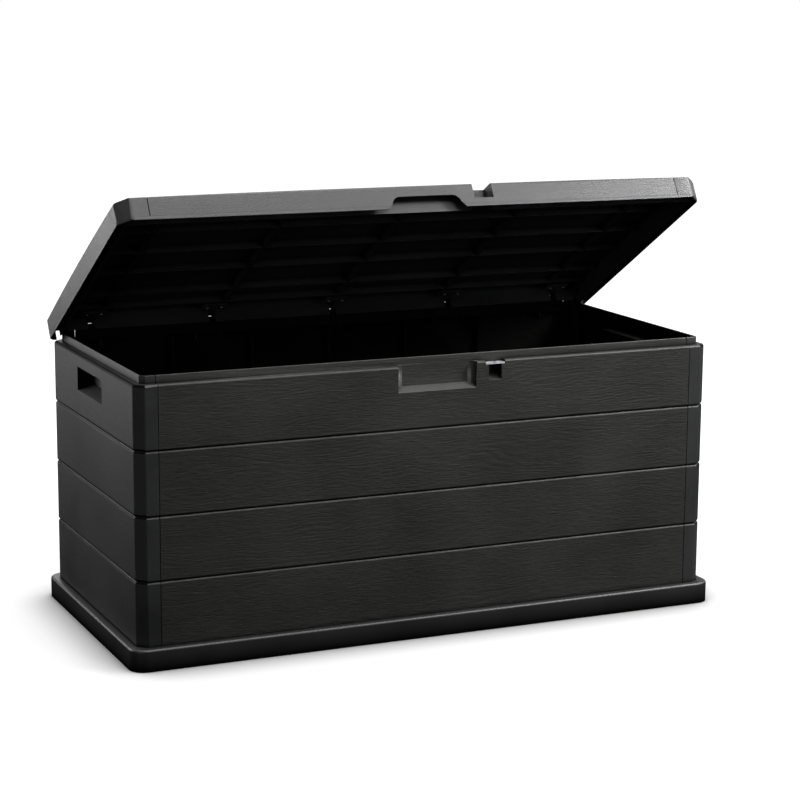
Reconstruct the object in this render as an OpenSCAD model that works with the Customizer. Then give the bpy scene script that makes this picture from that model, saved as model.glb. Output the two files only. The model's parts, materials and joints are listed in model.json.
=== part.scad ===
// Deck storage box: a resin chest of four clad walls on a base tray, with a lid on five hinges.
// X runs to the right, Y to the back and Z up. The origin is on the floor under the middle of the base.

/* [Body] */
// Width over the faces of the side walls
body_w = 1170; // [1100:5:1240]
// Depth over the faces of the front and back walls
body_d = 540; // [500:5:600]
// Height of the shoulder on top of the walls
wall_top = 519; // [460:1:560]
// Number of planks moulded into each wall
planks = 4; // [3:1:5]
// Thickness of the wall skin
skin = 4; // [3.5:0.5:5]
// Leg of the flat facet at each corner of the body
facet = 17.4; // [16:0.2:22]
// Distance from the corner to the upright seam on the front and back
seam_in = 42; // [38:1:60]

/* [Base] */
// Height of the base tray
base_h = 41; // [36:1:50]
// How far the base tray stands out past the walls
base_out = 16; // [14:1:22]
// Corner radius of the base tray
base_r = 30; // [26:1:34]

/* [Lid] */
// Opening angle that the lid rests at
lid_angle = 30.7; // [0:0.1:97]
// How far the lid stands out past the side walls
lid_side = 8; // [8:1:12]
// How far the lid stands out past the front wall
lid_front = 12; // [11:1:16]
// How far the lid stands out past the back wall
lid_back = 9.5; // [9:0.5:12]
// Height of the lid flange at its corners
lid_h = 43; // [42:0.5:46]
// Rise of the lid top at the middle of its width
lid_crown = 4; // [2:0.5:6]
// Thickness of the lid moulding
lid_skin = 3; // [2.5:0.5:3]

/* [Hinges] */
// Radius of a hinge pin
pin_r = 3; // [2:0.5:3.5]
// Spacing between the inner hinges
hinge_pitch = 262; // [240:1:280]
// Spacing from an inner hinge to the outer one
hinge_outer_pitch = 250; // [220:1:258]

/* [Hidden] */
$fn = 48;
cut = 1;               // how far a cutting solid runs past a face

// Colours
resin = "#35363a";
lid_resin = "#3f4043";
steel = "#b9bcc0";

// Walls
front_y = -body_d/2;
back_y = body_d/2;
side_x = body_w/2;
seam_x = side_x - seam_in;
seam_gap = 0.5;
plank_pitch = (wall_top - base_h)/planks;
groove_deep = 3.5;
plank_edge_r = 4;      // rounding of a plank beside its groove
plank_edge_turn = 60;  // angle that the rounding turns through
bead_deep = 2.5;       // bead on the inside that backs a groove
bead_half = 7;
shoulder_t = 3.5;
top_edge_r = 4;
lip_out = 14;          // depth of the lip's outer face behind the wall face
lip_t = 3.5;
lip_h = 14.5;
lip_top = wall_top + lip_h;
upstand_h = 4.5;       // the lip stands this much higher along the back, in front of the hinges
upstand_t = 2;
tongue_z = 21;         // lower end of the tongue that stands in the base tray
tongue_in = 1;
rib_t = 3;
rib_deep = 12;

// Front scoop and lock recess
scoop_half = 80;
scoop_h = 49;
scoop_rise = 10;
scoop_r = 13;
pocket_wall = 3;
lock_x = 119;
lock_bar_half = 20;
lock_bar_deep = 14;
lock_stem_half = 13.5;
lock_stem_deep = 20;
lock_stem_h = 37;
lock_plate_top = 4;    // how far the plate's upper face lies below the shoulder
lock_plate_t = 3;
lock_hole_r = 4.5;
lock_hole_in = 8;      // depth of the padlock hole behind the front face
lock_screw_r = 1.5;
lock_screw_x = 16.8;

// Side grips
grip_y0 = -64;
grip_y1 = 94;
grip_low = 71;
grip_high = 25;
grip_deep = 30;
grip_rise = 12;

// Base tray
floor_z = 3;           // height of the floor's underside, between shallow ribs
floor_t = 3;
tray_wall = 4;
tray_edge_r = 5;

// Lid
lid_w = body_w + 2*lid_side;
lid_y0 = front_y - lid_front;
lid_y1 = back_y + lid_back;
lid_z = wall_top + 1.5;
lid_edge_r = 5;
lid_facet = 23.6;
lid_rear_facet = 8;
rear_cut = 19;         // how far the rear flange stops short of the side flange
notch_half = 20;       // half width of the rear flange's notch at each hinge
skirt_gap = 2;
skirt_t = 3;
skirt_z = lid_z + 0.5;
rear_skirt_y = 246.5;  // the rear skirt hangs just inside the back lip
rear_skirt_z = lid_z + 6.5;
rear_skirt_half = side_x - 24;
lid_rib_z = lid_z + 30;
arch_top = 25;
arch_half = 66;
arch_foot = 79.5;
arch_r = 14;
arch_lean = 4;
niche_half = 19.75;
niche_deep = 34;
niche_floor = 17;
niche_t = 2.5;

// Hinges
hinge_y = back_y - 3.5;
hinge_z = lid_z + lid_h - 10;
hinge_x = [-hinge_pitch - hinge_outer_pitch, -hinge_pitch, 0, hinge_pitch, hinge_pitch + hinge_outer_pitch];
knuckle_r = 6.5;
leaf_half = 6.5;
ear_in = 7;
ear_out = 19;
web_t = 6;
web_gap = 7.2;           // how far the web stops below the pin
foot_half = 32;
foot_t = 3.5;
bracket_screw_x = 25;
leaf_plate_half = 24;
leaf_screw_x = 15;
leaf_t = 4;
leaf_y0 = 212;
leaf_y1 = 238;
leaf_screw_y = (leaf_y0 + leaf_y1)/2;
bracket_screw_y = back_y - 8.5;
fixed_bore_r = pin_r + 0.02;
running_bore_r = pin_r + 0.08;
screw_r = 1.75;
screw_bore_r = 1.8;
screw_head_r = 4;
screw_head_h = 2.5;
screw_boss_r = 5;

// A rectangle in plan with cut corners, set in from the wall faces by t
module plan_shape(t, half_x, y0, y1, front_leg, back_leg) {
    leg_loss = t*(2 - sqrt(2));
    f = max(front_leg - leg_loss, 0.5);
    b = max(back_leg - leg_loss, 0.5);
    x = half_x - t;
    polygon([[-x + f, y0 + t], [x - f, y0 + t], [x, y0 + t + f], [x, y1 - t - b],
             [x - b, y1 - t], [-x + b, y1 - t], [-x, y1 - t - b], [-x, y0 + t + f]]);
}
module body_plan(t) { plan_shape(t, side_x, front_y, back_y, facet, facet); }
module lid_plan(t) { plan_shape(t, lid_w/2, lid_y0, lid_y1, lid_facet, lid_rear_facet); }

// Outline of one plank's face from its lower groove to its upper groove, as [depth, height] points
edge_run = plank_edge_r*sin(plank_edge_turn);
edge_fall = plank_edge_r*(1 - cos(plank_edge_turn));
groove_half = edge_run + (groove_deep - edge_fall)/tan(plank_edge_turn);
function edge_arc(z, way, turns) =
    [for (a = turns) [plank_edge_r*(1 - cos(a)), z + way*(plank_edge_r*sin(a) - groove_half)]];
function plank_face(k) = concat(
    k > 0 ? edge_arc(base_h + k*plank_pitch, -1, [60, 40, 20, 0]) : [],
    k < planks - 1 ? concat(edge_arc(base_h + (k + 1)*plank_pitch, 1, [0, 20, 40, 60]),
                            [[groove_deep, base_h + (k + 1)*plank_pitch]]) : []);
function bead(z) = [[skin, z + bead_half], [skin + bead_deep, z + bead_half - 3],
                    [skin + bead_deep, z - bead_half + 3], [skin, z - bead_half]];

// Section of a wall: x is the depth behind the face and y is the height
module wall_section() {
    polygon(concat(
        [[tongue_in, tongue_z], [tongue_in, base_h], [0, base_h]],
        [for (k = [0:planks - 1]) each plank_face(k)],
        [for (a = [0:15:90]) [top_edge_r*(1 - cos(a)), wall_top - top_edge_r*(1 - sin(a))]],
        [[lip_out, wall_top], [lip_out, lip_top - 1], [lip_out + 1, lip_top],
         [lip_out + lip_t - 1, lip_top], [lip_out + lip_t, lip_top - 1],
         [lip_out + lip_t, wall_top - shoulder_t], [skin, wall_top - shoulder_t]],
        [for (k = [planks - 1:-1:1]) each bead(base_h + k*plank_pitch)],
        [[skin, tongue_z]]));
}

// A run of wall from point a to point b in plan, with the inside of the box on its left
module wall_run(a, b) {
    run = b - a;
    translate([a[0], a[1], 0])
        rotate([0, 0, atan2(run[1], run[0])])
            rotate([90, 0, 90])
                linear_extrude(norm(run)) wall_section();
}

// Runs of wall along a list of plan points, mitred where they meet
function normal(p, i) = let (d = p[i + 1] - p[i]) [-d[1], d[0]]/norm(d);
function mitre(p, i) =
    i == 0 ? normal(p, 0) :
    i == len(p) - 1 ? normal(p, i - 1) :
    let (m = normal(p, i - 1), n = normal(p, i)) (m + n)/(1 + m*n);
module wall_path(p) {
    reach = 25;
    for (i = [0:len(p) - 2])
        intersection() {
            wall_run(p[i], p[i + 1]);
            linear_extrude(lip_top + cut)
                polygon([p[i] - mitre(p, i), p[i + 1] - mitre(p, i + 1),
                         p[i + 1] + reach*mitre(p, i + 1), p[i] + reach*mitre(p, i)]);
        }
}

// Upright stiffening rib on the inside of the front wall
module wall_rib(x) {
    translate([x - rib_t/2, front_y + skin - 0.5, base_h + 6])
        cube([rib_t, rib_deep + 0.5, wall_top - shoulder_t - base_h - 5.5]);
}

// Places for the screws of one upright seam
seam_screw_z = [base_h + plank_pitch/2, wall_top - 1.5*plank_pitch];
seam_screw_x = seam_x + 8;
strip_t = 3;
strip_gap = 0.3;

// Straight wall between two seams, placed at the front, with cover strips that lap behind the side panels
module long_wall(ribs) {
    wall_path([[-seam_x + seam_gap, front_y], [seam_x - seam_gap, front_y]]);
    for (x = ribs) wall_rib(x);
    for (side = [-1, 1], k = [0:planks - 1])
        difference() {
            translate([side*seam_x - 14, front_y + skin - 0.01, base_h + k*plank_pitch + bead_half + 2])
                cube([28, strip_t + strip_gap, plank_pitch - 2*bead_half - 4]);
            translate([side*seam_x - side*seam_gap + (side > 0 ? 0 : -20), front_y + skin - cut, 0])
                cube([20, cut + strip_gap, wall_top]);
            for (z = seam_screw_z)
                translate([side*seam_screw_x, front_y, z])
                    rotate([-90, 0, 0]) cylinder(r = screw_bore_r, h = 20);
        }
}

module scoop_block() {
    translate([-scoop_half - pocket_wall, front_y + 1, wall_top - scoop_h - pocket_wall])
        cube([2*(scoop_half + pocket_wall), lip_out + pocket_wall - 1, scoop_h + pocket_wall - 0.2]);
}
module scoop_cut() {
    intersection() {
        translate([0, front_y, wall_top - scoop_h - cut])
            linear_extrude(scoop_h + 3*cut)
                union() {
                    translate([-scoop_half, -cut]) square([2*scoop_half, cut + lip_out - scoop_r]);
                    translate([-scoop_half + scoop_r, -cut])
                        square([2*(scoop_half - scoop_r), cut + lip_out]);
                    for (side = [-1, 1])
                        translate([side*(scoop_half - scoop_r), lip_out - scoop_r]) circle(r = scoop_r);
                }
        translate([-scoop_half - cut, front_y, wall_top])
            rotate([90, 0, 90])
                linear_extrude(2*(scoop_half + cut))
                    polygon([[-cut, -scoop_h], [0, -scoop_h], [lip_out, -scoop_h + scoop_rise],
                             [lip_out, cut], [-cut, cut]]);
    }
}

module lock_block() {
    translate([lock_x - lock_bar_half - 4, front_y + 1, wall_top - lock_stem_h - 4])
        cube([2*lock_bar_half + 8, lip_out + lip_t - 1, lock_stem_h + 3.8]);
    translate([lock_x - lock_stem_half - 4, front_y + 1, wall_top - lock_stem_h - 4])
        cube([2*lock_stem_half + 8, lock_stem_deep + 3, lock_stem_h - 4]);
}
module lock_cut() {
    translate([lock_x - lock_bar_half, front_y - cut, wall_top - lock_plate_top - lock_plate_t])
        cube([2*lock_bar_half, lock_bar_deep + cut, lock_plate_top + lock_plate_t + cut]);
    translate([lock_x - lock_stem_half, front_y, wall_top])
        rotate([90, 0, 90])
            linear_extrude(2*lock_stem_half)
                polygon([[-cut, -lock_stem_h], [0, -lock_stem_h], [lock_stem_deep, -lock_stem_h + 9],
                         [lock_stem_deep, -12], [lock_bar_deep, -lock_plate_top - lock_plate_t + 0.5],
                         [-cut, -lock_plate_top - lock_plate_t + 0.5]]);
    for (side = [-1, 1])
        translate([lock_x + side*lock_screw_x, front_y + lock_hole_in, wall_top - 19])
            cylinder(r = lock_screw_r + 0.05, h = 15);
}

module front_panel() {
    color(resin)
    difference() {
        union() {
            long_wall([-450, -300, -150, 200, 350, 500]);
            scoop_block();
            lock_block();
        }
        scoop_cut();
        lock_cut();
    }
}

// Taller stretch of the back lip from x0 to x1
module upstand(x0, x1) {
    translate([x0, back_y - lip_out - lip_t, lip_top - 2])
        cube([x1 - x0, upstand_t, upstand_h + 2]);
}

module back_panel() {
    color(resin)
    difference() {
        union() {
            rotate([0, 0, 180]) long_wall([-340, -170, 0, 170, 340]);
            upstand(-seam_x + seam_gap, seam_x - seam_gap);
            for (x = hinge_x, side = [-1, 1])
                translate([x + side*bracket_screw_x, bracket_screw_y, wall_top - 16])
                    cylinder(r = screw_boss_r, h = 16 - shoulder_t/2);
        }
        for (x = hinge_x, side = [-1, 1])
            translate([x + side*bracket_screw_x, bracket_screw_y, wall_top - 14])
                cylinder(r = screw_bore_r, h = 16);
    }
}

module grip_section(grow) {
    polygon([[0, -grip_low - grow], [grip_deep + grow, -grip_low + grip_rise - grow],
             [grip_deep + grow, -grip_high + grow], [0, -grip_high + grow]]);
}
module grip_solid(grow, start) {
    translate([-side_x + start, grip_y0 - grow, wall_top])
        mirror([0, 1, 0]) rotate([90, 0, 0])
            linear_extrude(grip_y1 - grip_y0 + 2*grow) grip_section(grow);
}

// End wall that wraps round both corners and carries the grip
module end_panel() {
    x = side_x;
    difference() {
        union() {
            wall_path([[-seam_x - seam_gap, back_y], [-x + facet, back_y], [-x, back_y - facet],
                       [-x, front_y + facet], [-x + facet, front_y], [-seam_x - seam_gap, front_y]]);
            for (y = [-150, 165])
                translate([-x + skin - 0.5, y - rib_t/2, base_h + 6])
                    cube([rib_deep + 0.5, rib_t, wall_top - shoulder_t - base_h - 5.5]);
            grip_solid(pocket_wall, 1);
            upstand(-x + lip_out, -seam_x - seam_gap);
        }
        grip_solid(0, 0);
        translate([-x - cut, grip_y0, wall_top - grip_low])
            cube([cut + 0.5, grip_y1 - grip_y0, grip_low - grip_high]);
        for (z = seam_screw_z, side = [-1, 1])
            translate([-seam_screw_x, side*(front_y + 1.5), z])
                rotate([-90*side, 0, 0]) cylinder(r = screw_bore_r, h = 4);
    }
}
module left_panel() { color(resin) end_panel(); }
module right_panel() { color(resin) mirror([1, 0, 0]) end_panel(); }

// Section of the base tray's rim, from the corner centre outwards
module tray_rim_section() {
    polygon(concat([[0, 0], [base_r, 0]],
        [for (a = [0:15:90]) [base_r - tray_edge_r*(1 - cos(a)), base_h - tray_edge_r*(1 - sin(a))]],
        [[0, base_h]]));
}
module rounded_plan(half_x, half_y, r) {
    square([2*(half_x - r), 2*half_y], center = true);
    square([2*half_x, 2*(half_y - r)], center = true);
    for (sx = [-1, 1], sy = [-1, 1]) translate([sx*(half_x - r), sy*(half_y - r)]) circle(r = r);
}

module base_tray() {
    half_x = side_x + base_out;
    half_y = back_y + base_out;
    pocket_in = 12;
    cells_x = 4;
    cells_y = 2;
    rib = 10;
    cell_x = (2*(half_x - pocket_in) - (cells_x - 1)*rib)/cells_x;
    cell_y = (2*(half_y - pocket_in) - (cells_y - 1)*rib)/cells_y;
    color(resin) {
        difference() {
            union() {
                translate([-half_x + base_r, -half_y + base_r, 0])
                    cube([2*(half_x - base_r), 2*(half_y - base_r), base_h]);
                for (turn = [0, 180]) rotate([0, 0, turn]) {
                    translate([half_x - base_r, half_y - base_r, 0])
                        rotate([90, 0, 0]) linear_extrude(2*(half_y - base_r)) tray_rim_section();
                    translate([-half_x + base_r, half_y - base_r, 0])
                        rotate([90, 0, 90]) linear_extrude(2*(half_x - base_r)) tray_rim_section();
                    for (side = [0, 1]) mirror([side, 0, 0])
                        translate([half_x - base_r, half_y - base_r, 0])
                            rotate_extrude(angle = 90) tray_rim_section();
                }
            }
            // channel that the wall tongues stand in, then the floor inside the wall beside it
            translate([0, 0, tongue_z]) linear_extrude(base_h) body_plan(tongue_in - 0.3);
            translate([0, 0, floor_z + floor_t]) linear_extrude(base_h) body_plan(skin + 3.4);
            // shallow cells under the floor, and the hollow of the rim
            translate([0, 0, -cut])
                for (i = [0:cells_x - 1], j = [0:cells_y - 1])
                    translate([i*(cell_x + rib) + pocket_in - half_x,
                               j*(cell_y + rib) + pocket_in - half_y, 0])
                        cube([cell_x, cell_y, floor_z + cut]);
            translate([0, 0, -cut])
                linear_extrude(base_h - tray_wall + cut)
                    difference() {
                        rounded_plan(half_x - tray_wall, half_y - tray_wall, base_r - tray_wall);
                        body_plan(-2.5);
                    }
        }
        difference() {
            translate([0, 0, tongue_z - 1]) linear_extrude(base_h - tongue_z - 2) body_plan(skin + 0.4);
            translate([0, 0, floor_z]) linear_extrude(base_h) body_plan(skin + 3.4);
        }
    }
}

// Place something drawn on the closed lid where the open lid holds it
module on_lid() {
    translate([0, hinge_y, hinge_z])
        rotate([-lid_angle, 0, 0])
            translate([0, -hinge_y, -hinge_z]) children();
}

// Solid under the lid's outer skin, with everything set in by t
function crown_z(x) = lid_z + lid_h + lid_crown*(1 - pow(2*x/lid_w, 2));
module lid_solid(t) {
    half = lid_w/2 - t;
    r = max(lid_edge_r - t, 1);
    low = lid_z - cut;
    end_z = crown_z(lid_w/2) - t;
    front = lid_y0 + t;
    back = lid_y1 - t;
    intersection() {
        translate([0, 0, low]) linear_extrude(lid_h + lid_crown + 2*cut) lid_plan(t);
        translate([0, lid_y1 + cut, 0]) rotate([90, 0, 0])
            linear_extrude(lid_y1 - lid_y0 + 2*cut)
                polygon(concat([[-half, low]],
                    [for (a = [0:18:90]) [-half + r*(1 - cos(a)), end_z - r*(1 - sin(a))]],
                    [for (i = [-11:11]) [i*half/12, crown_z(i*half/12) - t]],
                    [for (a = [90:-18:0]) [half - r*(1 - cos(a)), end_z - r*(1 - sin(a))]],
                    [[half, low]]));
        translate([-lid_w/2 - cut, 0, 0]) rotate([90, 0, 90])
            linear_extrude(lid_w + 2*cut)
                polygon(concat([[front, low], [front, end_z + lid_crown - r]],
                    [for (a = [15:15:90]) [front + r*(1 - cos(a)), end_z + lid_crown - r*(1 - sin(a))]],
                    [for (a = [90:-15:0]) [back - r*(1 - cos(a)), end_z + lid_crown - r*(1 - sin(a))]],
                    [[back, low]]));
    }
}

// Half of the arch over the scoop, from its foot to its top, as [distance from the middle, height] points
function arch_side() = concat(
    [[arch_foot, -2*cut], [arch_foot, 0]],
    [for (a = [0:15:75])
        [arch_half - arch_r*(1 - cos(a)) + arch_lean*(1 - a/75), arch_top - arch_r*(1 - sin(a))]]);
module arch_cut() {
    side = arch_side();
    translate([0, lid_y0 - cut, lid_z]) mirror([0, 1, 0]) rotate([90, 0, 0])
        linear_extrude(lid_skin + 2*cut)
            polygon(concat([for (p = side) [-p[0], p[1]]],
                           [for (i = [len(side) - 1:-1:0]) side[i]]));
}

// Ribs, skirt and bosses inside the lid
module lid_inside() {
    skirt_y = front_y + lip_out - skirt_gap;
    skirt_x = side_x - lip_out + skirt_gap;
    rib_end = 205;
    high = lid_z + lid_h + lid_crown;
    translate([-skirt_x - skirt_t, skirt_y - skirt_t, skirt_z])
        cube([2*(skirt_x + skirt_t), skirt_t, high - skirt_z]);
    for (side = [-1, 1])
        translate([side > 0 ? skirt_x : -skirt_x - skirt_t, skirt_y - skirt_t, skirt_z])
            cube([skirt_t, 262 - skirt_y, high - skirt_z]);
    // rear skirt, whose ends step up over the lips of the end walls
    translate([-rear_skirt_half, rear_skirt_y, rear_skirt_z])
        cube([2*rear_skirt_half, skirt_t, high - rear_skirt_z]);
    translate([-skirt_x - 1, rear_skirt_y, lip_top + 2])
        cube([2*skirt_x + 2, skirt_t, high - lip_top - 2]);
    for (x = [-490, -245, 0, 245, 490])
        translate([x - rib_t/2, skirt_y - 1, lid_rib_z])
            cube([rib_t, rib_end - skirt_y + 1, high - lid_rib_z]);
    for (y = [lid_y1 - 429, lid_y1 - 334, lid_y1 - 241, lid_y1 - 138, rib_end])
        translate([-skirt_x - 1, y - rib_t/2, lid_rib_z]) cube([2*skirt_x + 2, rib_t, high - lid_rib_z]);
    for (x = hinge_x, side = [-1, 1])
        translate([x + side*leaf_screw_x, leaf_screw_y, hinge_z - knuckle_r + leaf_t])
            cylinder(r = 5, h = high - hinge_z + knuckle_r - leaf_t);
    translate([lock_x - niche_half - niche_t, lid_y0 + 1, lid_z + niche_floor - niche_t])
        cube([2*(niche_half + niche_t), niche_deep + niche_t - 1, high - lid_z - niche_floor + niche_t]);
}

module lid_shell() {
    high = lid_h + lid_crown + 2*cut;
    color(lid_resin) on_lid()
    difference() {
        intersection() {
            union() {
                difference() {
                    lid_solid(0);
                    lid_solid(lid_skin);
                    translate([-lid_w/2, lid_y0, lid_z - 2*cut]) cube([lid_w, lid_y1 - lid_y0, 2*cut]);
                }
                lid_inside();
            }
            lid_solid(0);
        }
        arch_cut();
        // niche for the padlock, and the gap in the skirt under it
        translate([lock_x - niche_half, lid_y0 - cut, lid_z + niche_floor])
            cube([2*niche_half, niche_deep + cut, high]);
        translate([lock_x - niche_half, front_y + lip_out - skirt_gap - skirt_t - cut, lid_z - cut])
            cube([2*niche_half, skirt_t + 1.5*cut, niche_floor - niche_t + cut]);
        translate([lock_x, front_y + lock_hole_in, lid_z]) cylinder(r = lock_hole_r, h = niche_floor + cut);
        // the rear flange stops short, and is notched for the hinges
        translate([-side_x + 7, lid_y1 - 2*lid_rear_facet, lid_z - 2*cut])
            cube([2*side_x - 14, 3*lid_rear_facet, rear_cut + 2*cut]);
        for (x = hinge_x) {
            // slot in the rear skirt for the arm of the leaf
            translate([x - leaf_half - 1, rear_skirt_y - cut, rear_skirt_z - cut])
                cube([2*leaf_half + 2, skirt_t + 2*cut, hinge_z + cut - rear_skirt_z + cut]);
            translate([x - notch_half, lid_y1 - lid_skin - cut, lid_z])
                cube([2*notch_half, lid_skin + 3*cut, lid_h - 6]);
            for (side = [-1, 1])
                translate([x + side*leaf_screw_x, leaf_screw_y, hinge_z - knuckle_r])
                    cylinder(r = screw_bore_r, h = knuckle_r + 6);
        }
    }
}

// Tube along X, centred on the hinge line at x
module hinge_tube(x0, x1, r) {
    translate([x0, hinge_y, hinge_z]) rotate([0, 90, 0]) cylinder(r = r, h = x1 - x0);
}

module hinge_bracket(x) {
    color(resin)
    difference() {
        union() {
            translate([x - foot_half, front_y + body_d - 12.5, wall_top]) cube([2*foot_half, 8.5, foot_t]);
            for (side = [-1, 1]) {
                x0 = x + (side > 0 ? ear_in : -ear_out);
                hinge_tube(x0, x0 + ear_out - ear_in, knuckle_r);
                translate([x0, hinge_y - knuckle_r + 1, wall_top + foot_t - 1])
                    cube([ear_out - ear_in, knuckle_r + 1, hinge_z - wall_top - foot_t + 1]);
            }
            // web that joins the two ears under the leaf
            translate([x - ear_in - 1, hinge_y - knuckle_r + 1, wall_top + foot_t - 1])
                cube([2*ear_in + 2, web_t, hinge_z - web_gap - wall_top - foot_t + 1]);
        }
        hinge_tube(x - foot_half, x + foot_half, fixed_bore_r);
        for (side = [-1, 1])
            translate([x + side*bracket_screw_x, bracket_screw_y, wall_top - cut])
                cylinder(r = screw_r + 0.25, h = foot_t + 2*cut);
    }
}

module hinge_pin(x) {
    color(steel) {
        hinge_tube(x - ear_out - 1.5, x + ear_out + 0.5, pin_r);
        hinge_tube(x + ear_out + 0.2, x + ear_out + 2.2, pin_r + 2);
    }
}

module hinge_leaf(x) {
    low = hinge_z - knuckle_r;
    color(lid_resin) on_lid()
    difference() {
        union() {
            hinge_tube(x - leaf_half, x + leaf_half, knuckle_r);
            translate([x - leaf_half, leaf_y1 - cut, low])
                cube([2*leaf_half, hinge_y - leaf_y1 + cut, leaf_t]);
            translate([x - leaf_plate_half, leaf_y0, low])
                cube([2*leaf_plate_half, leaf_y1 - leaf_y0, leaf_t]);
            translate([x - 1.5, leaf_y1 - cut, low + leaf_t - 0.5])
                cube([3, hinge_y - leaf_y1 + cut, knuckle_r - leaf_t + 0.5]);
        }
        hinge_tube(x - leaf_half - cut, x + leaf_half + cut, running_bore_r);
        for (side = [-1, 1])
            translate([x + side*leaf_screw_x, leaf_screw_y, low - cut])
                cylinder(r = screw_r + 0.25, h = leaf_t + 2*cut);
    }
}

// Pan-head screw standing upright, with its head's underside at the origin
module screw(length) {
    translate([0, 0, -length]) cylinder(r = screw_r, h = length + 0.5);
    cylinder(r1 = screw_head_r, r2 = screw_head_r - 1, h = screw_head_h);
}

module bracket_screws() {
    color(steel)
    for (x = hinge_x, side = [-1, 1])
        translate([x + side*bracket_screw_x, bracket_screw_y, wall_top + foot_t]) screw(16);
}

module leaf_screws() {
    color(steel) on_lid()
    for (x = hinge_x, side = [-1, 1])
        translate([x + side*leaf_screw_x, leaf_screw_y, hinge_z - knuckle_r])
            rotate([180, 0, 0]) screw(11);
}

module corner_screws() {
    color(steel)
    for (turn = [0, 180], side = [-1, 1], z = seam_screw_z)
        rotate([0, 0, turn])
            translate([side*seam_screw_x, front_y + skin + strip_gap + strip_t - 0.01, z])
                rotate([-90, 0, 0]) screw(5.2);
}

module lock_plate() {
    low = wall_top - lock_plate_top - lock_plate_t;
    color(steel)
    difference() {
        translate([lock_x - lock_bar_half + 0.3, front_y + 0.3, low])
            cube([2*lock_bar_half - 0.6, lock_bar_deep - 0.6, lock_plate_t]);
        translate([lock_x, front_y + lock_hole_in, low - cut])
            cylinder(r = lock_hole_r, h = lock_plate_t + 2*cut);
        for (side = [-1, 1])
            translate([lock_x + side*lock_screw_x, front_y + lock_hole_in, low - cut])
                cylinder(r = lock_screw_r + 0.1, h = lock_plate_t + 2*cut);
    }
}

module lock_plate_screws() {
    color(steel)
    for (side = [-1, 1])
        translate([lock_x + side*lock_screw_x, front_y + lock_hole_in, wall_top - lock_plate_top]) {
            translate([0, 0, -13]) cylinder(r = lock_screw_r, h = 13.3);
            cylinder(r1 = 2.6, r2 = 1.8, h = 1.4);
        }
}

base_tray();
front_panel();
back_panel();
left_panel();
right_panel();
lid_shell();
hinge_bracket(hinge_x[0]);  // hinge_bracket_1
hinge_bracket(hinge_x[1]);  // hinge_bracket_2
hinge_bracket(hinge_x[2]);  // hinge_bracket_3
hinge_bracket(hinge_x[3]);  // hinge_bracket_4
hinge_bracket(hinge_x[4]);  // hinge_bracket_5
hinge_pin(hinge_x[0]);  // hinge_pin_1
hinge_pin(hinge_x[1]);  // hinge_pin_2
hinge_pin(hinge_x[2]);  // hinge_pin_3
hinge_pin(hinge_x[3]);  // hinge_pin_4
hinge_pin(hinge_x[4]);  // hinge_pin_5
hinge_leaf(hinge_x[0]);  // hinge_leaf_1
hinge_leaf(hinge_x[1]);  // hinge_leaf_2
hinge_leaf(hinge_x[2]);  // hinge_leaf_3
hinge_leaf(hinge_x[3]);  // hinge_leaf_4
hinge_leaf(hinge_x[4]);  // hinge_leaf_5
bracket_screws();
leaf_screws();
corner_screws();
lock_plate();
lock_plate_screws();
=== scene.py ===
"""Deck storage box: detailed mouldings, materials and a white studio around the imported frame."""
import json
import math

import bmesh
import bpy
import numpy as np
from mathutils import Matrix, Vector


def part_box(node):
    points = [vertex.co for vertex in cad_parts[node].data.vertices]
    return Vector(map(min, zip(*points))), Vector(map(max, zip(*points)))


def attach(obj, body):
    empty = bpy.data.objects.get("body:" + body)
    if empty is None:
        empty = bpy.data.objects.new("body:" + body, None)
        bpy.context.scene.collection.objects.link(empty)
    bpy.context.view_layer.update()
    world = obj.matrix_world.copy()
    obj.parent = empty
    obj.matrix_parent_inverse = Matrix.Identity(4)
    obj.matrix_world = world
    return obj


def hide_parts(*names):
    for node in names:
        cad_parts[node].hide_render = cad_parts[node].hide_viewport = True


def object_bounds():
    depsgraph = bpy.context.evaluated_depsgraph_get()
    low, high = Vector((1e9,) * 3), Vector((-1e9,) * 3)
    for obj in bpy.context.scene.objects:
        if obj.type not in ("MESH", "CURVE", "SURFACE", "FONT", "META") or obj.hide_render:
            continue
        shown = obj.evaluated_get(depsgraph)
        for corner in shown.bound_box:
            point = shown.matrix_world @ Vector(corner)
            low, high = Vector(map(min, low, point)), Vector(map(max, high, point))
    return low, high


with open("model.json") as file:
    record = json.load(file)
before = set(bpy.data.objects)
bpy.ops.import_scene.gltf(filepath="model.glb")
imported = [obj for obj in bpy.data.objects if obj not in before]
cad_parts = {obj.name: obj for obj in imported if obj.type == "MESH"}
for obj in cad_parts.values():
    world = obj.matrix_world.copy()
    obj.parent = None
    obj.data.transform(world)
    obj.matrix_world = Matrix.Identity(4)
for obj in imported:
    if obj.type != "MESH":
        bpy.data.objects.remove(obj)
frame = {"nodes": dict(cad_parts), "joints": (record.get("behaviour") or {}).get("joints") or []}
CAD_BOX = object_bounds()

MM = 0.001
TINY = 1e-6
X, Y, Z = range(3)

# Walls, in metres, from the frame where it holds the value
BASE_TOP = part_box("base_tray")[1].z
FRONT_LOW, FRONT_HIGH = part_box("front_panel")
WALL_X = -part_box("left_panel")[0].x
WALL_Y = -FRONT_LOW.y
WALL_FOOT = BASE_TOP - 30 * MM
WALL_TOP = FRONT_HIGH.z - 14.5 * MM
WALL_FACET = 17.4 * MM
WALL_CORNER_ROUND = 1.8 * MM
WALL_ARRIS_ROUND = 0.45 * MM
PLANKS = 4
PLANK_HEIGHT = (WALL_TOP - BASE_TOP) / PLANKS
GROOVES = [BASE_TOP + k * PLANK_HEIGHT for k in range(1, PLANKS)]
GROOVE_DEPTH = 4.5 * MM
SLIT_HALF = 0.7 * MM
SLIT_DEPTH = 2.4 * MM

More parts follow.
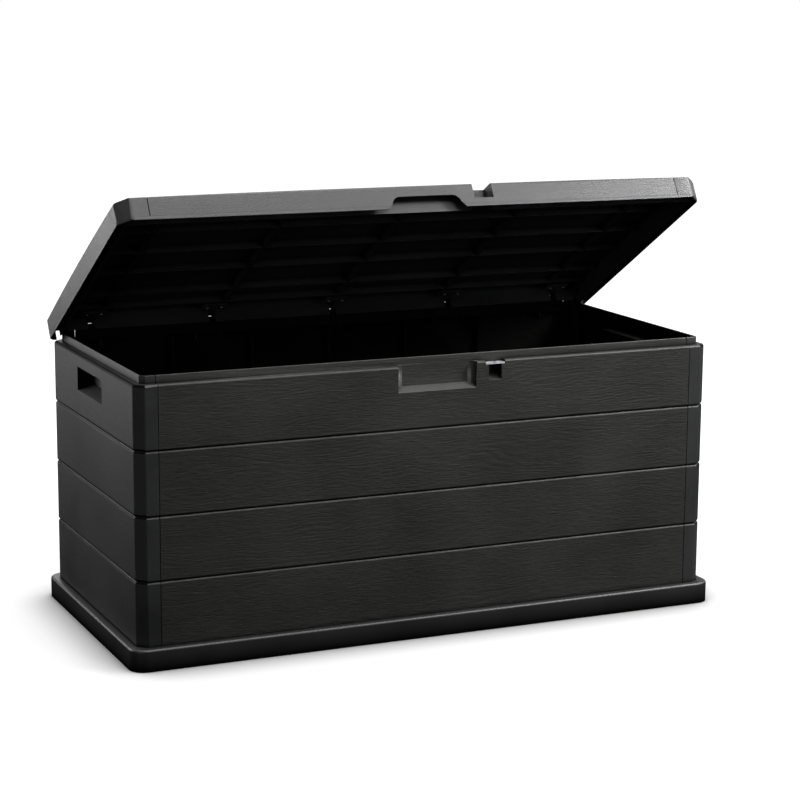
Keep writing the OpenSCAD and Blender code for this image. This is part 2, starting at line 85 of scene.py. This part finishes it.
# The hinge, and the move that shuts the lid
HINGE = frame["joints"][0]
HINGE_AT = Vector(HINGE["pos_m"])
LID_CLOSING = (
    Matrix.Translation(HINGE_AT)
    @ Matrix.Rotation(math.radians(HINGE["range_deg"][0]), 4, Vector(HINGE["axis"]))
    @ Matrix.Translation(-HINGE_AT)
)

# The lid when shut
LID_LOW = WALL_TOP + 1.5 * MM
LID_CROWN_FROM = LID_LOW + 36 * MM
LID_HALF_X = CAD_BOX[1].x - 8 * MM
LID_HALF_Y = 280 * MM
LID_FRONT = WALL_Y + 12 * MM
LID_FACET = 23.6 * MM
LID_CORNER_ROUND = 5 * MM
LID_STRIP = 20 * MM
SEAM_X = 536 * MM
SEAM_CUTS = (-0.9 * MM, -0.7 * MM, 0.7 * MM, 0.9 * MM)
SEAM_FLOOR_HALF = 0.75 * MM
SEAM_DEPTH = 2.0 * MM
BORDER_Z = LID_LOW + 6.5 * MM
BORDER_HALF = 0.5 * MM
BORDER_DEPTH = 0.5 * MM
DOME_FROM = 20 * MM
DOME_FADE = 18 * MM
DOME_ACROSS = 4.5
DOME_ALONG = 0.5

EDGE_ROUND = 0.6 * MM
GRAIN_PITCH = 5.5 * MM
# how far the painted shade in creases reaches
CREASE = 16 * MM

# Each wall: CAD node, piece, way it faces, axis along its boards, slot,
# then in mm the grain grid's steps along and across and the grain's depth, and its seed
WALLS = (
    ("front_panel", "front_panel_boards", (0, -1, 0), X, "grained_resin", (4.5, 1.5), 0.5, 10),
    ("back_panel", "back_panel_boards", (0, 1, 0), X, "grained_resin", (6, 2), 0.4, 20),
    ("left_panel", "left_end_wall", (-1, 0, 0), Y, "wall_resin", (6, 2), 0.18, 30),
    ("right_panel", "right_end_wall", (1, 0, 0), Y, "wall_resin", (6, 2), 0.18, 40),
)

# Each resin: slot, colour, roughness, specular level, fibres per metre, strength of grain, height of the
# painted shade along the foot
RESINS = (
    ("grained_resin", (0.0178, 0.0182, 0.0166), 0.5, 0.35, (45, 45, 520), 1.0, 0),
    ("wall_resin", (0.016, 0.0165, 0.0165), 0.5, 0.35, (45, 45, 520), 0.35, 0),
    ("lid_resin", (0.016, 0.016, 0.0175), 0.46, 0.45, (45, 520, 520), 0.5, 0),
    ("base_resin", (0.012, 0.012, 0.0125), 0.42, 0.45, None, 0, 34 * MM),
    ("hinge_resin", (0.014, 0.014, 0.015), 0.5, 0.4, None, 0, 0),
)

# Each metal: name, colour, roughness
METALS = (
    ("zinc", (0.12, 0.12, 0.125), 0.5),
    ("pin_steel", (0.12, 0.12, 0.125), 0.45),
    ("plate", (0.68, 0.69, 0.7), 0.42),
)

# CAD nodes that keep their shape, by material
HINGES = range(1, 6)
KEPT_NODES = {
    "hinge_resin": [f"hinge_bracket_{i}" for i in HINGES] + [f"hinge_leaf_{i}" for i in HINGES],
    "pin_steel": [f"hinge_pin_{i}" for i in HINGES],
    "zinc": ["bracket_screws", "leaf_screws", "corner_screws", "lock_plate_screws"],
    "plate": ["lock_plate"],
}

# Each light: name, place, what it faces, size, watts
LIGHTS = (
    ("overhead", (0, 0, 4.0), (0, 0, 0.5), (3.0, 3.0), 240),
    ("front_broad", (0, -4.0, 4.5), (0, 0, 0.4), (4.0, 2.0), 50),
    ("front_high", (0.6, -2.6, 3.2), (0, -0.2, 0.5), (1.6, 1.2), 42),
    ("right_high", (2.6, 0.2, 1.8), (0.5, 0, 0.5), (1.0, 1.0), 40),
    ("right_key", (1.6, -1.1, 1.7), (0.4, -0.25, 0.75), (0.6, 0.6), 68),
    ("right_low", (2.2, -2.6, 0.8), (0.2, -0.3, 0.3), (1.2, 1.0), 9),
    ("left_back", (-1.7, 1.3, 0.9), (-0.6, 0, 0.4), (1.2, 1.2), 26),
    ("left_front", (-3.5, -3.0, 1.2), (-0.3, 0, 0.3), (2.5, 2.0), 26),
    ("back_fill", (1.5, 5.5, 2.4), (0, 0, 0.4), (4.0, 3.0), 90),
)
FLOOR_DROP = 0.5 * MM
FLOOR_HALF = 14

# Camera, at the height and angle of a person standing a few steps away
CAMERA_AT = Vector((-1.7287, -3.9461, 1.2435))
CAMERA_YAW = 24.197
CAMERA_PITCH = 11.037
CAMERA_ROLL = 0.385
CAMERA_LENS = 100.125
CAMERA_SENSOR = 36


# ---- Mesh helpers ----

def clean_copy(node_name):
    """A CAD node's mesh in a new bmesh, welded, with each flat area as one face."""
    bm = bmesh.new()
    bm.from_mesh(frame["nodes"][node_name].data)
    bm.verts.layers.float.new("grain")
    bm.faces.layers.float.new("inner")
    bmesh.ops.remove_doubles(bm, verts=bm.verts, dist=3 * TINY)
    bmesh.ops.dissolve_limit(bm, angle_limit=math.radians(0.15), verts=bm.verts, edges=bm.edges)
    return bm


def soften(bm, edges, width, segments=2):
    """Rounds some edges of a moulding."""
    bmesh.ops.bevel(bm, geom=edges, offset=width, offset_type="OFFSET", segments=segments,
                    profile=0.5, affect="EDGES", clamp_overlap=False)


def sharp_edges(bm, above=50, shortest=1.2 * MM):
    """Convex edges that turn by more than an angle in degrees and are long enough to round."""
    limit = math.radians(above)
    return [e for e in bm.edges if e.is_manifold and e.is_convex
            and e.calc_length() > shortest and e.calc_face_angle() > limit]


def span(face, axis):
    """Lowest and highest place of a face along an axis."""
    ends = [v.co[axis] for v in face.verts]
    return min(ends), max(ends)


def span_of(faces, axis):
    ends = [span(f, axis) for f in faces]
    return min(e[0] for e in ends), max(e[1] for e in ends)


def slice_faces(bm, faces, axis, cuts):
    """Cuts faces by planes across an axis and returns all the pieces."""
    normal = Vector([float(i == axis) for i in range(3)])
    waiting = sorted(((*span(f, axis), f) for f in faces), key=lambda t: t[0])
    live, done, entered = [], [], 0
    for cut in sorted(cuts):
        while entered < len(waiting) and waiting[entered][0] < cut - TINY:
            live.append(waiting[entered])
            entered += 1
        done += [t[2] for t in live if t[1] <= cut + TINY]
        crossing = [t[2] for t in live if t[1] > cut + TINY]
        live = []
        if not crossing:
            continue
        # a dict keeps the order of the faces, so that each run makes the same mesh
        geom = dict.fromkeys(crossing)
        for f in crossing:
            geom.update(dict.fromkeys([*f.edges, *f.verts]))
        out = bmesh.ops.bisect_plane(bm, geom=list(geom), dist=TINY, plane_co=normal * cut, plane_no=normal)
        for g in out["geom"]:
            if isinstance(g, bmesh.types.BMFace):
                low, high = span(g, axis)
                if low < cut - TINY:
                    done.append(g)
                else:
                    live.append((low, high, g))
    return done + [t[2] for t in live] + [t[2] for t in waiting[entered:]]


def verts_of(faces):
    return list(dict.fromkeys(v for f in faces for v in f.verts))


def positions(verts):
    return np.array([v.co for v in verts])


def as_piece(bm, name, body, node_name, material, smooth_below=30):
    """Makes the object, shades it smooth except at real edges, puts it on its body and hides the CAD node it
    replaces.
    """
    mesh = bpy.data.meshes.new(name)
    bm.normal_update()
    bm.to_mesh(mesh)
    bm.free()
    mesh.shade_smooth()
    mesh.set_sharp_from_angle(angle=math.radians(smooth_below))
    mesh.materials.append(material)
    piece = bpy.data.objects.new(name, mesh)
    bpy.context.scene.collection.objects.link(piece)
    even = piece.modifiers.new("even_shading", "WEIGHTED_NORMAL")
    even.keep_sharp = True
    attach(piece, body)
    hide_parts(node_name)


# ---- Moulded wood grain ----

class Noise:
    """Smooth random heights from -1 to 1 over a plane, the same on every run."""

    def __init__(self, seed, size=97):
        self.grid = np.random.default_rng(seed).uniform(-1, 1, (size, size))

    def __call__(self, u, v):
        i, j = np.floor(u).astype(int), np.floor(v).astype(int)
        a, b = smooth_curve(u - i), smooth_curve(v - j)
        n = len(self.grid)
        near, far = self.grid[i % n], self.grid[(i + 1) % n]
        rows = np.arange(len(u))
        low = near[rows, j % n] * (1 - a) + far[rows, j % n] * a
        high = near[rows, (j + 1) % n] * (1 - a) + far[rows, (j + 1) % n] * a
        return low * (1 - b) + high * b


def smooth_curve(t):
    """Eases values from 0 to 1 in and out."""
    return t * t * (3 - 2 * t)


def wood_grain(u, v, seed):
    """Depth from 0 to 1 of a flat-sawn grain, at u along the boards and v across them, in metres."""
    broad, wander, fade, pores = (Noise(seed + k) for k in range(4))
    # growth rings bent into long arches, with a finer waver along them
    rings = v + 0.034 * broad(u / 0.23, v / 0.075) + 0.005 * wander(u / 0.05, v / 0.02)
    lines = (0.5 + 0.5 * np.sin(2 * math.pi * rings / GRAIN_PITCH)) ** 1.5
    strength = 0.55 + 0.45 * fade(u / 0.09, v / 0.03)
    fine = 0.5 + 0.5 * pores(u / 0.009, v / 0.0028)
    return np.clip(0.5 * lines * strength + 0.5 * fine, 0, 1)


def emboss(bm, outward, along, across, steps, depth, seed, flat, strips):
    """Slices the flat outer faces into a fine grid and presses a wood grain into them."""
    low, high = span_of(strips, along)
    strips = slice_faces(bm, strips, along, np.arange(low + steps[0], high, steps[0]))
    bm.normal_update()
    boards = [f for f in strips if flat(f)]
    low, high = span_of(boards, across)
    boards = slice_faces(bm, boards, across, np.arange(low + steps[1], high, steps[1]))
    verts = verts_of(boards)
    at = positions(verts)
    grain = wood_grain(at[:, along], at[:, across], seed)
    inside = set(boards)
    layer = bm.verts.layers.float["grain"]
    for v, g in zip(verts, grain):
        whole = all(f in inside for f in v.link_faces)
        v.co -= outward * (depth * g * (1.0 if whole else 0.5))
        v[layer] = g


# ---- Materials ----

def node(tree, kind, inputs=None, **settings):
    """A shader node with settings and inputs: a value, or a socket to link."""
    made = tree.nodes.new(kind)
    for key, value in settings.items():
        setattr(made, key, value)
    for key, value in (inputs or {}).items():
        if isinstance(value, bpy.types.NodeSocket):
            tree.links.new(value, made.inputs[key])
        else:
            made.inputs[key].default_value = value
    return made


def ramp(tree, fac, low, high, out_low=0.0, out_high=1.0):
    """Maps a value from one range to another, clamped."""
    made = node(tree, "ShaderNodeMapRange", {"Value": fac, "From Min": low, "From Max": high,
                                             "To Min": out_low, "To Max": out_high})
    return made.outputs["Result"]


def times(tree, a, b):
    return node(tree, "ShaderNodeMath", {0: a, 1: b}, operation="MULTIPLY").outputs[0]


def plus(tree, a, b):
    return node(tree, "ShaderNodeMath", {0: a, 1: b}, operation="ADD").outputs[0]


def noise(tree, coords, scale, detail=3.0, rough=0.55, stretch=None):
    if stretch:
        coords = node(tree, "ShaderNodeMapping", {"Vector": coords, "Scale": stretch}).outputs[0]
    made = node(tree, "ShaderNodeTexNoise",
                {"Vector": coords, "Scale": scale, "Detail": detail, "Roughness": rough})
    return made.outputs[0]


def mixed(tree, fac, a, b):
    """Mixes two colours, each a tuple or a socket."""
    made = node(tree, "ShaderNodeMix", {0: fac}, data_type="RGBA")
    for key, value in ((6, a), (7, b)):
        if isinstance(value, bpy.types.NodeSocket):
            tree.links.new(value, made.inputs[key])
        else:
            made.inputs[key].default_value = (*value, 1)
    return made.outputs[2]


def scaled(colour, factor, lift=0.0):
    return tuple(c * factor + lift for c in colour)


def new_material(name):
    """A material, its node tree, its shader and the object's own coordinates."""
    material = bpy.data.materials.new(name)
    material.use_nodes = True
    tree = material.node_tree
    coords = node(tree, "ShaderNodeTexCoord").outputs["Object"]
    return material, tree, tree.nodes["Principled BSDF"], coords


def raised_edges(tree, full):
    """1 on edges that stand out and 0 on flat areas."""
    return ramp(tree, node(tree, "ShaderNodeNewGeometry").outputs["Pointiness"], 0.52, full)


def attribute(tree, name):
    return node(tree, "ShaderNodeAttribute", attribute_name=name).outputs["Fac"]


def link_surface(tree, shader, colour, roughness, height, relief, strength):
    """Links a shader's colour, its roughness and a bump."""
    bump = node(tree, "ShaderNodeBump", {"Height": height, "Distance": relief, "Strength": strength})
    tree.links.new(colour, shader.inputs["Base Color"])
    tree.links.new(roughness, shader.inputs["Roughness"])
    tree.links.new(bump.outputs[0], shader.inputs["Normal"])


def moulded_resin(name, colour, roughness, specular, stretch, grain, foot):
    """Resin with a spark-eroded skin, faint mottling, lighter raised edges, painted shade in creases, on
    inner faces and along the foot and, where asked, a fine wood grain.
    """
    material, tree, shader, coords = new_material(name)
    mottle = noise(tree, coords, 5.0, 4.0)
    skin = noise(tree, coords, 950.0, 2.0, 0.6)
    lighter_edges = times(tree, raised_edges(tree, 0.60), ramp(tree, noise(tree, coords, 60.0), 0.35, 0.7, 0.2, 1.0))
    dark = scaled(colour, 0.5 if stretch else 0.8)
    paint = mixed(tree, ramp(tree, mottle, 0.3, 0.7), dark, scaled(colour, 1.3))
    height = times(tree, skin, 0.05)
    gloss = ramp(tree, mottle, 0.3, 0.7, roughness - 0.04, roughness + 0.05)
    if stretch:
        fibres = noise(tree, coords, 1.0, 4.0, 0.6, stretch)
        broad = noise(tree, coords, 1.0, 2.0, 0.5, scaled(stretch, 0.22))
        pores = ramp(tree, fibres, 0.42, 0.62)
        height = plus(tree, height, times(tree, plus(tree, pores, broad), 0.5 * grain))
        paint = mixed(tree, times(tree, pores, 0.5 * grain), paint, dark)
        # the grain layer: the pressed grain's depth, which darkens the grain, and 1 in the lid's slits and
        # border line, where it paints shade
        grain_depth_and_seam_shade = attribute(tree, "grain")
        paint = mixed(tree, times(tree, grain_depth_and_seam_shade, 0.8), paint, dark)
        gloss = plus(tree, gloss, times(tree, grain_depth_and_seam_shade, 0.08))
    # lighter on edges that stand out, in patches
    paint = mixed(tree, times(tree, lighter_edges, 0.6), paint, scaled(colour, 1.9, 0.004))
    # painted shade: colour and specular level fall in creases, on the inner faces and along the foot
    crease = node(tree, "ShaderNodeAmbientOcclusion", {"Distance": CREASE}, samples=8).outputs["AO"]
    painted_shade_factor = ramp(tree, crease, 0.45, 0.8, 0.1, 1.0)
    painted_shade_factor = times(tree, painted_shade_factor, ramp(tree, attribute(tree, "inner"), 0, 1, 1.0, 0.1))
    if foot:
        above_floor = node(tree, "ShaderNodeSeparateXYZ", {0: coords}).outputs["Z"]
        painted_shade_factor = times(tree, painted_shade_factor, ramp(tree, above_floor, 0, foot, 0.0, 1.0))
    paint = mixed(tree, painted_shade_factor, scaled(colour, 0.1), paint)
    tree.links.new(times(tree, painted_shade_factor, specular), shader.inputs["Specular IOR Level"])
    link_surface(tree, shader, paint, gloss, height, 0.5 * MM, 0.7)
    return material


def plated_metal(name, colour, roughness):
    """Zinc-plated steel with drawn scratches, dull patches and brighter edges."""
    material, tree, shader, coords = new_material(name)
    shader.inputs["Metallic"].default_value = 1.0
    scratches = noise(tree, coords, 1.0, 3.0, 0.6, (220, 2600, 2600))
    patches = noise(tree, coords, 140.0, 4.0)
    edge = raised_edges(tree, 0.62)
    bright = tuple(min(1, c) for c in scaled(colour, 1.2))
    paint = mixed(tree, ramp(tree, patches, 0.35, 0.7), scaled(colour, 0.72), colour)
    paint = mixed(tree, times(tree, edge, 0.7), paint, bright)
    gloss = plus(tree, ramp(tree, patches, 0.3, 0.7, roughness - 0.08, roughness + 0.1),
                 times(tree, scratches, 0.1))
    link_surface(tree, shader, paint, gloss, scratches, 0.1 * MM, 0.4)
    return material


def paper():
    """White floor: matt, a little luminous so that it stays white far out, with a painted contact shadow in
    its glow where the box meets it.
    """
    material, tree, shader, coords = new_material("paper")
    shader.inputs["Base Color"].default_value = (0.15, 0.15, 0.15, 1)
    shader.inputs["Roughness"].default_value = 0.9
    shader.inputs["Specular IOR Level"].default_value = 0.1
    shader.inputs["Emission Color"].default_value = (1, 1, 1, 1)
    reach = node(tree, "ShaderNodeVectorMath", {0: coords}, operation="LENGTH").outputs["Value"]
    painted_contact_shadow = node(tree, "ShaderNodeAmbientOcclusion", {"Distance": 0.12}, samples=12).outputs["AO"]
    glow = times(tree, ramp(tree, reach, 0.65, 1.2, 0.75, 1.1), ramp(tree, painted_contact_shadow, 0.45, 0.95))
    tree.links.new(glow, shader.inputs["Emission Strength"])
    return material


# ---- Mouldings ----

def facet_corners(half_x, half_y, leg):
    """Plan corners of a rectangle with cut corners, each with the inward direction of its mitre."""
    turn = math.tan(math.radians(22.5))
    out = []
    for sx in (-1, 1):
        for sy in (-1, 1):
            out.append((Vector((sx * (half_x - leg), sy * half_y)), Vector((-sx * turn, -sy)).normalized()))
            out.append((Vector((sx * half_x, sy * (half_y - leg))), Vector((-sx, -sy * turn)).normalized()))
    return out


def corner_edges(bm, corners, reach, low, high):
    """Edges of the mitres that run inwards from plan corners, given with their inward directions."""
    def on_mitre(v):
        for corner, inward in corners:
            off = v.co.xy - corner
            if abs(off.cross(inward)) < 0.03 * MM and -0.5 * MM < off.dot(inward) < reach:
                return True
        return False
    picked = {v for v in bm.verts if low < v.co.z < high and on_mitre(v)}
    return [e for e in bm.edges if e.is_manifold and e.verts[0] in picked and e.verts[1] in picked
            and e.calc_face_angle() > math.radians(12)]


def base_tray(material):
    bm = clean_copy("base_tray")
    soften(bm, sharp_edges(bm), EDGE_ROUND)
    as_piece(bm, "base_tray_moulding", "box", "base_tray", material)


def boarded_wall(node_name, name, facing, along, slot, steps, depth, seed, material):
    """A wall panel: rounded arrises, a slit along each groove and a wood grain pressed into its planks."""
    outward = Vector(facing)
    bm = clean_copy(node_name)
    corners = facet_corners(WALL_X, WALL_Y, WALL_FACET)
    soften(bm, corner_edges(bm, corners, 6 * MM, WALL_FOOT, WALL_TOP + TINY), WALL_CORNER_ROUND, 3)
    soften(bm, sharp_edges(bm), WALL_ARRIS_ROUND)
    bm.normal_update()
    face_at = WALL_Y if along == X else WALL_X

    def depth_of(f):
        return face_at - f.calc_center_median().dot(outward)

    def on_profile(f):
        return depth_of(f) < GROOVE_DEPTH and f.normal.dot(outward) > 0.2

    def flat(f):
        return f.normal.dot(outward) > 0.999 and depth_of(f) < 0.2 * MM

    strips = [f for f in bm.faces if on_profile(f)]
    strips = slice_faces(bm, strips, Z, [z + side * SLIT_HALF for z in GROOVES for side in (-1, 1)])
    for v in verts_of(strips):
        if any(abs(v.co.z - z) < TINY * 20 for z in GROOVES):
            v.co -= outward * SLIT_DEPTH
    emboss(bm, outward, along, Z, [s * MM for s in steps], depth * MM, seed, flat, strips)
    mark_inner_faces(bm)
    as_piece(bm, name, "box", node_name, material)


def mark_inner_faces(bm):
    """Marks the faces that look towards the middle of the box, which the resin darkens as painted shade."""
    bm.normal_update()
    inner = bm.faces.layers.float["inner"]
    for f in bm.faces:
        middle = f.calc_center_median().xy
        f[inner] = float(f.normal.xy.dot(middle) < -0.1 * middle.length)


def lid(material):
    """The lid, worked on as if shut: rounded corners, end seams, border line, domed top and grain."""
    bm = clean_copy("lid_shell")
    bm.transform(LID_CLOSING)
    bm.normal_update()
    corners = [c for c in facet_corners(LID_HALF_X, LID_FRONT, LID_FACET) if c[0].y < 0]
    soften(bm, corner_edges(bm, corners, 2 * MM, LID_LOW - TINY, LID_LOW + 60 * MM), LID_CORNER_ROUND, 4)
    soften(bm, sharp_edges(bm), EDGE_ROUND)
    bm.normal_update()
    # strips from front to back, so that the top can bend into a dome
    slice_faces(bm, list(bm.faces), Y, np.arange(-LID_HALF_Y + LID_STRIP, LID_HALF_Y, LID_STRIP))
    bm.normal_update()
    press_lid_lines(bm)
    raise_dome(bm)
    bm.normal_update()
    top = [f for f in bm.faces if f.normal.z > 0.99 and f.calc_center_median().z > LID_CROWN_FROM
           and abs(f.calc_center_median().x) < SEAM_X - 2 * MM]
    emboss(bm, Vector((0, 0, 1)), X, Y, (7 * MM, 3 * MM), 0.4 * MM, 300, lambda f: True, top)
    bm.transform(LID_CLOSING.inverted())
    as_piece(bm, "lid_moulding", "lid", "lid_shell", material)


def outer_faces(bm):
    """Faces of the shut lid that are seen from outside: its crown, front, ends and front facets."""
    front_y = min(v.co.y for v in bm.verts)

    def is_outer(f):
        c = f.calc_center_median()
        if c.z > LID_CROWN_FROM and f.normal.z > 0.05:
            return True
        if c.y < front_y + 5 * MM and f.normal.y < -0.2:
            return True
        if abs(c.x) > LID_HALF_X - 5 * MM and f.normal.x * c.x > 0 and abs(f.normal.x) > 0.2:
            return True
        corner = abs(c.x) > LID_HALF_X - LID_FACET and c.y < front_y + LID_FACET
        return corner and f.normal.y < -0.5 and abs(f.normal.x) > 0.5

    return [f for f in bm.faces if is_outer(f)]


def press_lid_lines(bm):
    """Presses in the slits between the middle and end boards, and the fine line round the flange's foot, and
    sets them to 1 in the grain layer, which paints shade into them.
    """
    seams = [side * SEAM_X + k for side in (-1, 1) for k in SEAM_CUTS]
    outer = slice_faces(bm, outer_faces(bm), X, seams)
    bm.normal_update()
    walls = [f for f in outer if abs(f.normal.z) < 0.2]
    slice_faces(bm, walls, Z, [BORDER_Z + side * BORDER_HALF for side in (-1, 0, 1)])
    bm.normal_update()
    pushes = {}
    for v in verts_of(outer_faces(bm)):
        if abs(abs(v.co.x) - SEAM_X) < SEAM_FLOOR_HALF and v.co.z > BORDER_Z + TINY * 5:
            pushes[v] = v.normal * SEAM_DEPTH
        elif abs(v.co.z - BORDER_Z) < TINY * 5:
            pushes[v] = v.normal * BORDER_DEPTH
    # the slits and border line get 1 in the grain layer, so the lid's resin paints shade into them
    grain = bm.verts.layers.float["grain"]
    for v, push in pushes.items():
        v.co -= push
        v[grain] = 1


def raise_dome(bm):
    """Lifts the whole top into a soft dome, which fades out down the flange."""
    verts = list(bm.verts)
    at = positions(verts)
    across = 1 - (at[:, Y] / LID_HALF_Y) ** 2
    along = 1 - (at[:, X] / LID_HALF_X) ** 2
    rise = (DOME_ACROSS * across + DOME_ALONG * along - DOME_ALONG) * MM
    share = smooth_curve(np.clip((at[:, Z] - LID_LOW - DOME_FROM) / DOME_FADE, 0, 1))
    for v, lift in zip(verts, rise * share):
        v.co.z += lift


# ---- Studio ----

def area_light(name, at, towards, size, power):
    data = bpy.data.lights.new(name, "AREA")
    data.shape = "RECTANGLE"
    data.size, data.size_y = size
    data.energy = power
    light = bpy.data.objects.new(name, data)
    light.location = at
    light.rotation_euler = (Vector(towards) - Vector(at)).to_track_quat("-Z", "Y").to_euler()
    bpy.context.scene.collection.objects.link(light)


def add_floor():
    """A white floor that casts no light back on to the box."""
    mesh = bpy.data.meshes.new("floor")
    bm = bmesh.new()
    bmesh.ops.create_grid(bm, x_segments=8, y_segments=8, size=FLOOR_HALF)
    bm.to_mesh(mesh)
    bm.free()
    mesh.materials.append(paper())
    floor = bpy.data.objects.new("floor", mesh)
    floor.location.z = -FLOOR_DROP
    floor.visible_diffuse = False
    floor.visible_glossy = False
    bpy.context.scene.collection.objects.link(floor)


def add_studio():
    """A white world that only the camera sees, the floor, and soft lights on every side."""
    scene = bpy.context.scene
    scene.view_settings.view_transform = "Standard"
    world = bpy.data.worlds.new("studio")
    scene.world = world
    world.use_nodes = True
    world.node_tree.nodes["Background"].inputs["Color"].default_value = (1, 1, 1, 1)
    world.cycles_visibility.diffuse = False
    world.cycles_visibility.glossy = False
    add_floor()
    for row in LIGHTS:
        area_light(*row)


def add_camera():
    yaw, pitch, roll = (math.radians(a) for a in (CAMERA_YAW, CAMERA_PITCH, CAMERA_ROLL))
    ahead = Vector((math.sin(yaw) * math.cos(pitch), math.cos(yaw) * math.cos(pitch), -math.sin(pitch)))
    level = Vector((math.cos(yaw), -math.sin(yaw), 0))
    up = level.cross(ahead)
    right = math.cos(roll) * level + math.sin(roll) * up
    up = -math.sin(roll) * level + math.cos(roll) * up
    data = bpy.data.cameras.new("camera")
    data.sensor_width = CAMERA_SENSOR
    data.lens = CAMERA_LENS
    camera = bpy.data.objects.new("camera", data)
    camera.matrix_world = Matrix.Translation(CAMERA_AT) @ Matrix((right, up, -ahead)).transposed().to_4x4()
    bpy.context.scene.collection.objects.link(camera)
    bpy.context.scene.camera = camera


def build():
    materials = {row[0]: moulded_resin(*row) for row in RESINS}
    materials.update({row[0]: plated_metal(*row) for row in METALS})
    base_tray(materials["base_resin"])
    for row in WALLS:
        boarded_wall(*row, materials[row[4]])
    lid(materials["lid_resin"])
    for name, kept in KEPT_NODES.items():
        for node_name in kept:
            for material_slot in frame["nodes"][node_name].material_slots:
                material_slot.material = materials[name]


add_camera()
add_studio()
build()
